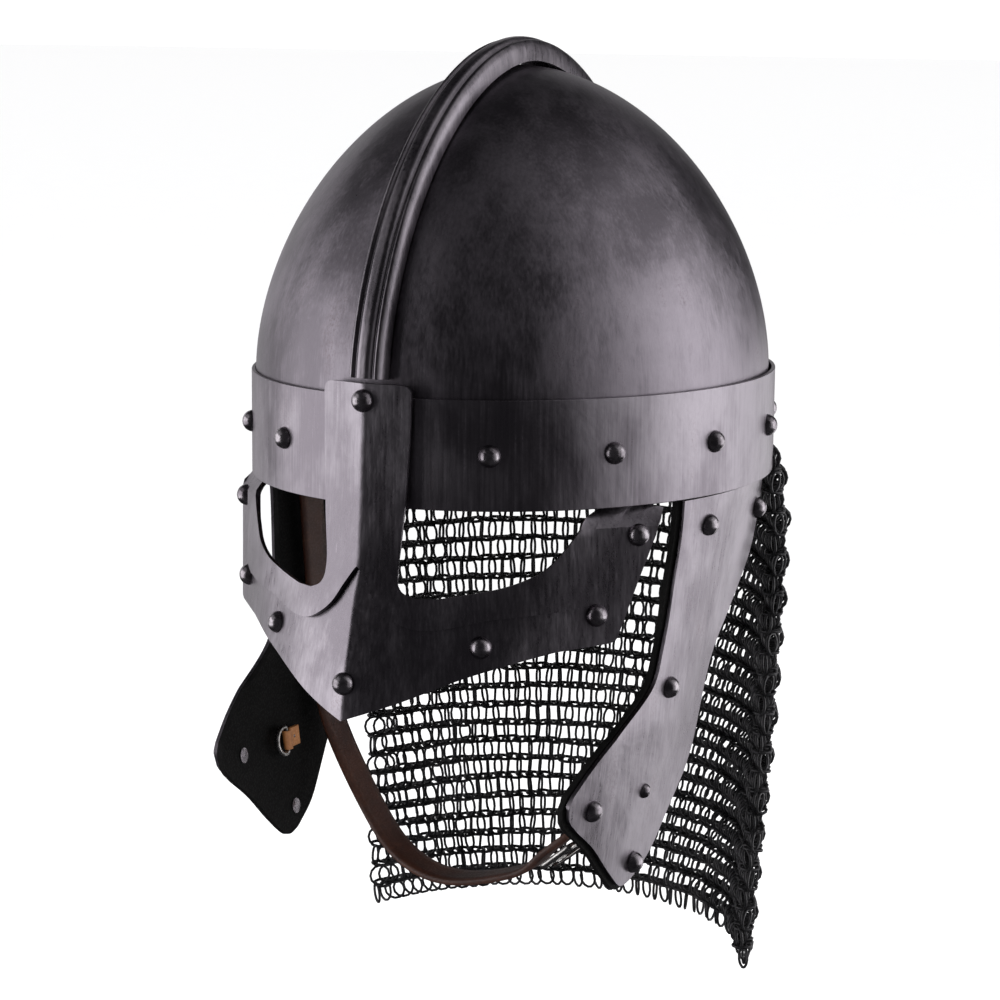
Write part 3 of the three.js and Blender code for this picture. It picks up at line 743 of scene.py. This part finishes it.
def make_face_plate(name, node, points, out, material):
    bm = flat_plate(points, "XZ")
    cut_lines(bm, Vector((1, 0, 0)), -97, 97, 3.4, (-0.9, 0.0, 0.9))
    cut_lines(bm, Vector((0, 0, 1)), -104, 32, 3.6)
    tidy_small(bm)
    laid(bm, lambda p: face_point(p.x, p.z, out))
    turn_out(bm, Vector((0, 0, -30)))
    return finish(name, bm, material, "shell", [node], "face_steel", wall=SHEET, edge=0.38)


# ---- cheek plates ----
CHEEK_FRONT = [(-40, -22.2), (-40, -37), (-42, -55), (-43.6, -70), (-46, -82), (-49.4, -93), (-58, -100.5),
               (-78, -111), (-92, -119.5), (-103, -128)]
CHEEK_CORNER = [(-103, -128), (-105.3, -130.9), (-105.6, -132), (-104.2, -137.4), (-102.4, -139.6),
                (-97, -144)]
CHEEK_FOOT = [(-97, -144), (-84, -153.4), (-71.5, -165), (-61.5, -173.4), (-56, -176.2), (-50, -175.4),
              (-45, -173.2), (-34, -166), (-23, -152), (-12.5, -139)]
CHEEK_BACK = [(-12.5, -139), (-8, -127), (-5.2, -103), (-1, -88), (8.5, -75), (17.5, -64), (28, -51.5),
              (33, -38), (36, -22.2)]


def cheek_outline():
    points = curved(CHEEK_FRONT, 44)
    points += [tuple(p) for p in CHEEK_CORNER[1:-1]]
    points += curved(CHEEK_FOOT, 40)
    points += curved(CHEEK_BACK, 40)[1:]
    return points


def grown(point, by):
    """The leather's edge, forward of and below the plate's edge."""
    y, z = point
    lead = smooth(-10, -45, y)
    forward = 0.0
    if y < -20:
        forward = by * (1 - smooth(-45, -22, y)) + by * 0.6 * smooth(-60, -80, z)
        forward += 12.0 * smooth(-78, -54, z) * smooth(-34, -40, y)
    low = by * 0.45 if z < -130 else 0.0
    return (y - forward * (0.4 + 0.6 * lead), z - low)


def facet(y, z):
    """How far the plate's hammered facets stand off its even curve, in millimetres."""
    front = along([(-180, -70), (-138, -52), (-120, -30), (-100, -22), (-60, 3), (-42, 14), (-22, 17)], z)
    back = max(0.0, y - front)
    return -0.045 * back if back < 12 else -0.54 - 0.02 * (back - 12)


def make_cheek_plate(material):
    """Both cheek plates, the second mirrored from the first."""
    bm = flat_plate(cheek_outline(), "YZ")
    cut_lines(bm, Vector((0, 1, 0)), -110, 40, 3.6)
    cut_lines(bm, Vector((0, 0, 1)), -180, -18, 3.6)
    tidy_small(bm)
    laid(bm, lambda p: cheek_point(p.y, p.z, 0.0) + cheek_normal(p.y, p.z) * facet(p.y, p.z))
    turn_out(bm, Vector((0, -20, -80)))
    for side, sign in SIDES:
        finish(f"cheek_guard_{side}", for_side(bm, sign), material, "cheek_" + side, [f"cheek_plate_{side}"],
               "face_steel", wall=SHEET, edge=0.4)
    bm.free()


def leather_reach(y, z):
    """The backing leather: inside the band above, behind the plate below, bent smoothly between."""
    inside = SHEET + BACKING_GAP
    under = cheek_point(y, z, -inside)
    a, b = BAND_A - 4.6, BAND_B - 4.6
    above = Vector((a * math.sqrt(max(0.0, 1 - (y / b) ** 2)), y, z))
    return under.lerp(above, smooth(-26.5, -17.5, z))


def make_backing(material):
    """The leather that hangs each cheek plate, bent where it leaves the band."""
    lower = [grown(p, 3.6) for p in cheek_outline()]
    points = [(-54, -16), (-54, -19)] + lower + [(34.2, -19), (34.0, -16), (33.8, 8.6), (-44, 8.6)]
    bm = flat_plate(points, "YZ")
    cut_lines(bm, Vector((0, 1, 0)), -116, 40, 4.0)
    cut_lines(bm, Vector((0, 0, 1)), -180, 10, 4.0, (-26.4, -24, -20, -18))
    tidy_small(bm)
    laid(bm, lambda p: leather_reach(p.y, p.z))
    turn_out(bm, Vector((0, -20, -80)))
    for side, sign in SIDES:
        nodes = [f"cheek_leather_{side}", f"hinge_leather_{side}"]
        piece = finish(f"backing_{side}", for_side(bm, sign), material, None, nodes, "backing_leather",
                       wall=LEATHER - 0.2, edge=0.5)
        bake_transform(piece)
    bm.free()


def ring_frame(sign):
    """The seat of a ring's tab: x towards the back, y up, z out through the plate."""
    out = cheek_normal(*TAB_SEAT)
    seat = cheek_point(*TAB_SEAT) - out * (SHEET + LEATHER + BACKING_GAP + GAP)
    back = (Vector((0, 1, 0)) - out * out.y).normalized()
    up = out.cross(back)
    basis = Matrix((back, up, out)).transposed().to_4x4()
    basis.translation = seat
    return Matrix.Scale(sign, 4, Vector((1, 0, 0))) @ basis


def make_tabs(material):
    eye = RING_WIRE + GAP + 1.3
    for side, sign in SIDES:
        bm = bmesh.new()
        loop = [(4.4, 0.0), (0, 0.0), (-4, 0.0)]
        centre = Vector((-7.4, -eye))
        for i in range(15):
            t = math.radians(78 + 268 * i / 14)
            loop.append((centre.x + (eye - 0.75) * math.cos(t), centre.y + (eye - 0.75) * math.sin(t)))
        loop += [(-3.6, -1.9), (0, -1.9), (4.4, -1.9)]
        spots = [bm.verts.new((x, -4.0, h - 0.6)) for x, h in loop]
        edges = [bm.edges.new(pair) for pair in zip(spots, spots[1:])]
        for _ in range(4):
            made = bmesh.ops.extrude_edge_only(bm, edges=edges)["geom"]
            edges = edges_in(made)
            bmesh.ops.translate(bm, vec=(0, 2.0, 0), verts=verts_in(made))
        bmesh.ops.recalc_face_normals(bm, faces=bm.faces[:])
        bmesh.ops.solidify(bm, geom=bm.faces[:], thickness=0.9)
        bmesh.ops.transform(bm, matrix=ring_frame(sign), verts=bm.verts[:])
        bmesh.ops.recalc_face_normals(bm, faces=bm.faces[:])
        finish(f"folded_tab_{side}", bm, material, "cheek_" + side, [f"ring_tab_{side}"], "tan_leather",
               edge=0.2)


def make_rings(material):
    eye = RING_WIRE + GAP + 1.3
    for side, sign in SIDES:
        bm = bmesh.new()
        bmesh.ops.create_circle(bm, segments=14, radius=RING_WIRE)
        bmesh.ops.rotate(bm, cent=(0, 0, 0), matrix=Matrix.Rotation(math.pi / 2, 3, "X"), verts=bm.verts[:])
        bmesh.ops.translate(bm, vec=(RING_RADIUS, 0, 0), verts=bm.verts[:])
        spun(bm, 56, 1e-4)
        for vertex in bm.verts:
            spine = RING_RADIUS * math.cos(math.atan2(vertex.co.y, vertex.co.x))
            vertex.co.x += min(spine, RING_RADIUS * RING_FLAT) - spine
        bmesh.ops.translate(bm, vec=(-7.4 - RING_RADIUS * RING_FLAT, 0, -eye), verts=bm.verts[:])
        bmesh.ops.transform(bm, matrix=ring_frame(sign), verts=bm.verts[:])
        bmesh.ops.recalc_face_normals(bm, faces=bm.faces[:])
        finish(f"lace_ring_{side}", bm, material, f"ring_{side}", [f"ring_{side}"], "ring_steel")


# ---- liner ----
def liner_point(degrees, t, out=0.0):
    """A point of the liner's outer face: t is 0 at the spring line and 1 at a tongue's tip."""
    angle = t * 0.86 * math.pi / 2
    wide = math.cos(angle) ** 0.95
    z = LINER_HIGH + (LINER_TOP - LINER_HIGH) * math.sin(angle)
    r = math.radians(degrees)
    x = (LINER_A - out) * wide * math.sin(r)
    y = SKULL_SHIFT - (LINER_B - out) * wide * math.cos(r)
    return Vector((x, y, z - out * 0.4))


def make_liner(material, lace):
    """A leather head band whose tongues close over the crown."""
    bm = bmesh.new()
    bmesh.ops.create_circle(bm, segments=160, radius=1.0)
    bmesh.ops.scale(bm, vec=(LINER_A, LINER_B, 1), verts=bm.verts[:])
    bmesh.ops.translate(bm, vec=(0, SKULL_SHIFT, LINER_LOW), verts=bm.verts[:])
    rim = bm.edges[:]
    for _ in range(8):
        made = bmesh.ops.extrude_edge_only(bm, edges=rim)["geom"]
        rim = edges_in(made)
        bmesh.ops.translate(bm, vec=(0, 0, 36 / 8), verts=verts_in(made))
    for k in range(LINER_TONGUES):
        middle = 22.5 + 45 * k
        part = bmesh.new()
        bmesh.ops.create_grid(part, x_segments=14, y_segments=22, size=0.5)
        for vertex in part.verts:
            u, v = vertex.co.x * 2, vertex.co.y + 0.5
            wide = math.cos(v * 0.86 * math.pi / 2) ** 0.95
            half = 22.5 - 2.6 * smooth(0, 0.12, v) - 1.5 * v / max(wide, 0.2)
            tip = math.sqrt(max(0.0, 1 - max(0.0, (v - 0.86) / 0.14) ** 2.2 * 0.8))
            ripple = 0.8 * math.cos(u * math.pi / 2) * smooth(0.1, 0.9, v)
            vertex.co = liner_point(middle + u * half * tip, v, -ripple)
        poured(bm, part)
    bmesh.ops.remove_doubles(bm, verts=bm.verts[:], dist=0.05)
    turn_out(bm)
    nodes = ["liner_front", "liner_left", "liner_back", "liner_right"]
    finish("tongued_liner", bm, material, "shell", nodes, "liner_leather", wall=LINER_THICK - 0.3, edge=0.4)
    make_lace(lace)


def tube(points, radius, sides=8, closed=False):
    """A round cord along a line of points."""
    bm = bmesh.new()
    bmesh.ops.create_circle(bm, segments=sides, radius=radius)
    ring = bm.verts[:]
    edges = bm.edges[:]
    count = len(points)
    before = Vector((0, 0, 1))
    turn_now = Matrix.Identity(3)
    for i, point in enumerate(points):
        ahead = points[(i + 1) % count] if closed or i < count - 1 else points[i]
        behind = points[i - 1] if closed or i > 0 else points[i]
        tangent = (ahead - behind).normalized()
        turn = before.rotation_difference(tangent).to_matrix()
        turn_now = turn @ turn_now
        if i == 0:
            spots = ring
            shape = [v.co.copy() for v in ring]
            order = {v: k for k, v in enumerate(ring)}
        else:
            old = {k: v for v, k in order.items()}
            made = bmesh.ops.extrude_edge_only(bm, edges=edges)["geom"]
            new = verts_in(made)
            edges = edges_in(made)
            order = {v: k for v in new for k, o in old.items() if (v.co - o.co).length < 1e-6}
            spots = new
        for v in spots:
            v.co = turn_now @ shape[order[v]] + point
        before = tangent
    if not closed:
        bmesh.ops.holes_fill(bm, edges=[e for e in bm.edges if e.is_boundary], sides=0)
    else:
        bmesh.ops.bridge_loops(bm, edges=[e for e in bm.edges if e.is_boundary])
    bmesh.ops.recalc_face_normals(bm, faces=bm.faces[:])
    return bm


def make_lace(material):
    """A cord threaded through the tongue tips, which gathers the liner at the crown."""
    line = []
    for i in range(96):
        degrees = 360 * i / 96
        inside = 1.6 * math.cos(math.radians(degrees) * LINER_TONGUES)
        line.append(liner_point(degrees, 0.93, 1.1 + inside * 1.6))
    finish("gathering_lace", tube(line, 0.9, 8, closed=True), material, "shell", slot="liner_leather")


def make_crown_pad(material):
    """A round quilted pad where the tongues meet."""
    bm = bmesh.new()
    profile = [(0, 86.0), (10, 86.0), (20, 86.0), (23.2, 86.3), (25.2, 87.3), (26.0, 89.0), (26.0, 91.6),
               (25.3, 93.4), (22.0, 95.0), (12, 96.1), (0, 96.4)]
    line_of(bm, [(x, 0, z) for x, z in profile])
    spun(bm, 64, 1e-4)
    for vertex in bm.verts:
        reach = math.hypot(vertex.co.x, vertex.co.y)
        if 6 < reach < 25:
            turn = math.atan2(vertex.co.y, vertex.co.x)
            quilt = 0.35 * math.cos(8 * turn) * smooth(6, 14, reach)
            vertex.co.z += quilt * (1 if vertex.co.z > 91 else -0.4)
    bmesh.ops.translate(bm, vec=(0, SKULL_SHIFT, 0), verts=bm.verts[:])
    bmesh.ops.recalc_face_normals(bm, faces=bm.faces[:])
    piece = finish("stuffed_crown_pad", bm, material, "shell", ["crown_pad"], "liner_leather")


# ---- chin strap ----
def buckle_point(x, y, z):
    """x runs along the strap towards the left ear, y along its width, z away from the chin."""
    c, s = math.cos(BUCKLE_LEAN), math.sin(BUCKLE_LEAN)
    return BUCKLE_AT + Vector((x * c + z * s, y, x * s - z * c))


def strap_sheet(line, width, thick, count, tip=None):
    """A flat strap with rounded edges, its width along Y, swept down a line."""
    spots = even(through(line, 160), count)
    bm = bmesh.new()
    half, t = width / 2, thick / 2
    ring = [(-half + 0.5, -t), (-half / 2, -t - 0.12), (0, -t - 0.16), (half / 2, -t - 0.12),
            (half - 0.5, -t), (half, -t * 0.35), (half, t * 0.35), (half - 0.5, t),
            (half / 2, t + 0.1), (0, t + 0.12),
            (-half / 2, t + 0.1), (-half + 0.5, t), (-half, t * 0.35), (-half, -t * 0.35)]
    first = [bm.verts.new((0, y, z)) for y, z in ring]
    edges = [bm.edges.new((first[k], first[(k + 1) % len(first)])) for k in range(len(first))]
    rows = [first]
    for _ in spots[1:]:
        old = rows[-1]
        made = bmesh.ops.extrude_edge_only(bm, edges=edges)["geom"]
        new = verts_in(made)
        edges = edges_in(made)
        rows.append([min(new, key=lambda v, o=o: (v.co - o.co).length_squared) for o in old])
    for i, row in enumerate(rows):
        tangent = spots[min(i + 1, count)] - spots[max(i - 1, 0)]
        tangent.y = 0
        tangent.normalize()
        face = tangent.cross(Vector((0, 1, 0)))
        narrow = 1.0
        if tip:
            left = (1 - i / count) * tip
            narrow = math.sqrt(max(0.02, 1 - max(0.0, 1 - left) ** 2)) if left < 1 else 1.0
        for vertex, (y, z) in zip(row, ring):
            vertex.co = spots[i] + Vector((0, y * narrow, 0)) + face * z
    bmesh.ops.holes_fill(bm, edges=[e for e in bm.edges if e.is_boundary], sides=0)
    bmesh.ops.recalc_face_normals(bm, faces=bm.faces[:])
    crease_sharp(bm, 60)
    return bm


LONG_STRAP = [(-88.2, -20, -1), (-88, -20, -30), (-85.4, -20, -66), (-81, -22, -102), (-74.5, -25, -131),
              (-53, -30, -164.5), (-33, -33, -185.5), (-8, -35.5, -191.5)]
SHORT_STRAP = [(88.2, -20, -1), (88, -21, -30), (85.4, -25, -66), (81, -30, -96), (73.5, -33.5, -132)]


def make_straps(material):
    """The long chin strap, and the short one that carries the buckle."""
    long = LONG_STRAP + [tuple(buckle_point(x, 0, 0)) for x in (-24, -6, 14)]
    bm = strap_sheet(long, STRAP_WIDTH, STRAP_THICK, 150, tip=22)
    finish("long_chin_strap", bm, material, "shell", ["chin_strap_long"], "strap_leather")
    short = SHORT_STRAP + [tuple(buckle_point(18.5, 0, 4)), tuple(buckle_point(11.6, 0, 4.2))]
    bm = strap_sheet(short, STRAP_WIDTH, STRAP_THICK, 90)
    finish("short_chin_strap", bm, material, "shell", ["chin_strap_short"], "strap_leather")


def make_buckle(material):
    """A wire frame and the tongue that turns on it."""
    rim = [(-7.7, -10.25), (6.9, -10.25), (7.65, -9.6), (7.65, 9.6), (6.9, 10.25), (-7.7, 10.25), (-7.7, 0)]
    line = [Vector((x, y, 4.5)) for x, y in rim]
    corners = []
    for k, spot in enumerate(line[:-1]):
        following = line[(k + 1) % (len(line) - 1)]
        corners += [spot.lerp(following, t) for t in (0.0, 0.08, 0.3, 0.5, 0.7, 0.92)]
    bm = tube(corners, 1.3, 10, closed=True)
    laid(bm, lambda p: buckle_point(p.x, p.y, p.z))
    bmesh.ops.recalc_face_normals(bm, faces=bm.faces[:])
    finish("wire_buckle", bm, material, "shell", ["buckle_frame"], "ring_steel")
    path = [Vector((7.6 + 2.45 * math.cos(t), 0, 4.5 + 2.45 * math.sin(t)))
            for t in [math.radians(-60 + 150 * i / 8) for i in range(9)]]
    path += [Vector((4, 0, 6.95)), Vector((0, 0, 6.95)), Vector((-5, 0, 6.9)), Vector((-9.2, 0, 6.6))]
    bm = tube(path, 0.75, 10)
    laid(bm, lambda p: buckle_point(p.x, p.y, p.z))
    bmesh.ops.recalc_face_normals(bm, faces=bm.faces[:])
    finish("wire_tongue", bm, material, "tongue", ["buckle_tongue"], "ring_steel")


# ---- mail ----
def link_mesh(radius, wire):
    """One wire link, lying flat about the origin."""
    bm = bmesh.new()
    bmesh.ops.create_circle(bm, segments=5, radius=wire)
    bmesh.ops.rotate(bm, cent=(0, 0, 0), matrix=Matrix.Rotation(math.pi / 2, 3, "X"), verts=bm.verts[:])
    bmesh.ops.translate(bm, vec=(radius, 0, 0), verts=bm.verts[:])
    spun(bm, 12, 1e-4)
    bmesh.ops.recalc_face_normals(bm, faces=bm.faces[:])
    mesh = bpy.data.meshes.new("link")
    bm.to_mesh(mesh)
    bm.free()
    return mesh


def mail_columns(z):
    """Places along one row: evenly spaced points with their outward directions."""
    swell = along(MAIL_SWELL, z)
    fine = [band_point(MAIL_START + (360 - 2 * MAIL_START) * i / 400, 0, swell) for i in range(401)]
    length = sum((b - a).length for a, b in zip(fine, fine[1:]))
    count = round(length / LINK_PITCH)
    return even(fine, count)


def lay_link(bm, link, matrix):
    ring = link.copy()
    ring.transform(matrix)
    bm.from_mesh(ring)
    bpy.data.meshes.remove(ring)


def mail_row(bm, row, standing, lying):
    """One row of links on edge, hung from a row of links lying flat."""
    z = FIRST_ROW - ROW_PITCH * row
    spots = mail_columns(z)
    last = len(spots) - 1
    for k, spot in enumerate(spots):
        ahead = (spots[min(k + 1, last)] - spots[max(k - 1, 0)]).normalized()
        out = Vector((ahead.y, -ahead.x, 0))
        if out.dot(spot) < 0:
            out.negate()
        sway = 0.42 * math.sin(k * 0.31 + row * 0.5) + 0.3 * math.sin(k * 0.9 - row * 0.23)
        turn = LINK_TURN * (1 if (k + row) % 2 else -1) + random.uniform(-0.1, 0.1)
        if row == ROWS - 1:
            turn += 0.85
        if min(k, last - k) < 2:
            turn += (1.1 if row % 2 else -1.1) * (1 if k < 2 else -1)
        place = spot + ahead * random.uniform(-0.25, 0.25)
        place += out * (sway + (1.2 if row % 2 else -1.2) + random.uniform(-0.2, 0.2))
        place.z = z + random.uniform(-0.25, 0.25) + 0.4 * math.sin(k * 0.23 + row)
        upright = Matrix((out, Vector((0, 0, 1)), ahead)).transposed().to_4x4()
        lean = Matrix.Rotation(random.uniform(-0.1, 0.1), 4, "X")
        lay_link(bm, standing, Matrix.Translation(place) @ Matrix.Rotation(turn, 4, "Z") @ upright @ lean)
        if row == ROWS - 1 or k == last:
            continue
        low = place + ahead * (LINK_PITCH / 2) - out * (1.2 if row % 2 else -1.2)
        low.z = place.z - ROW_PITCH / 2
        tilt = Matrix.Rotation(random.uniform(-0.16, 0.16), 4, out)
        roll = Matrix.Rotation(random.uniform(-0.1, 0.1), 4, ahead)
        lay_link(bm, lying, Matrix.Translation(low) @ tilt @ roll)


def make_mail(material):
    """The mail curtain, in four pieces of a few rows each."""
    random.seed(7)
    standing = link_mesh(LINK_RADIUS, LINK_WIRE)
    lying = link_mesh(FLAT_RADIUS, FLAT_WIRE)
    for part, rows in enumerate(((0, 7), (7, 14), (14, 20), (20, ROWS))):
        bm = bmesh.new()
        for row in range(*rows):
            mail_row(bm, row, standing, lying)
        bmesh.ops.recalc_face_normals(bm, faces=bm.faces[:])
        finish(f"mail_rows_{part + 1}", bm, material, "shell", ["mail_curtain"], "mail_steel")
    bpy.data.meshes.remove(standing)
    bpy.data.meshes.remove(lying)


def make_floor(material):
    bm = bmesh.new()
    bmesh.ops.create_grid(bm, x_segments=1, y_segments=1, size=FLOOR_SIZE)
    bmesh.ops.translate(bm, vec=(0, 0, FLOOR_HEIGHT), verts=bm.verts[:])
    mesh = bpy.data.meshes.new("floor")
    bm.to_mesh(mesh)
    bm.free()
    mesh.materials.append(material)
    floor = bpy.data.objects.new("floor", mesh)
    floor.visible_glossy = False
    floor.visible_shadow = False
    bpy.context.scene.collection.objects.link(floor)


set_camera()
set_lights()
make_floor(pale_floor())

skull_finish = browned_steel("skull_steel", (0.165, 0.15, 0.17), (0.35, 0.32, 0.36), 0.40)
band_finish = browned_steel("band_steel", (0.21, 0.19, 0.215), (0.43, 0.40, 0.44), 0.38)
comb_finish = browned_steel("comb_steel", (0.18, 0.165, 0.185), (0.38, 0.35, 0.385), 0.34)
face_finish = browned_steel("face_steel", (0.22, 0.20, 0.225), (0.44, 0.41, 0.45), 0.34)
rivet_finish = rivet_steel()
mail_finish = mail_steel()
wire_finish = bright_wire()
backing_finish = leather("backing_leather", (0.003, 0.003, 0.003), (0.007, 0.0065, 0.0065), 0.62, 0.8, 0.12,
                         shine=0.12)
strap_finish = leather("strap_leather", (0.036, 0.011, 0.006), (0.078, 0.025, 0.012), 0.45, 0.7, 0.35, 0.1)
tan_finish = leather("tan_leather", (0.30, 0.115, 0.035), (0.45, 0.19, 0.06), 0.5, 0.7, 0.3)
liner_finish = leather("liner_leather", (0.030, 0.017, 0.010), (0.065, 0.038, 0.022), 0.7, 1.0, 0.35)
lace_finish = thread("lace_cord", (0.10, 0.07, 0.045), (0.2, 0.15, 0.1))

make_skull(skull_finish)
make_band(band_finish)
make_comb(comb_finish)
make_face_plate("spectacle_guard", "spectacle_plate", spectacle_outline(), FACE_GAP + SHEET, face_finish)
make_face_plate("mouth_guard", "mask_plate", mask_outline(), 0.0, face_finish)
make_band_rivets(rivet_finish)
make_face_rivets(rivet_finish)
make_cheek_plate(face_finish)
make_backing(backing_finish)
make_cheek_rivets(rivet_finish)
make_tabs(tan_finish)
make_rings(wire_finish)
make_liner(liner_finish, lace_finish)
make_crown_pad(liner_finish)
make_straps(strap_finish)
make_buckle(wire_finish)
make_mail(mail_finish)
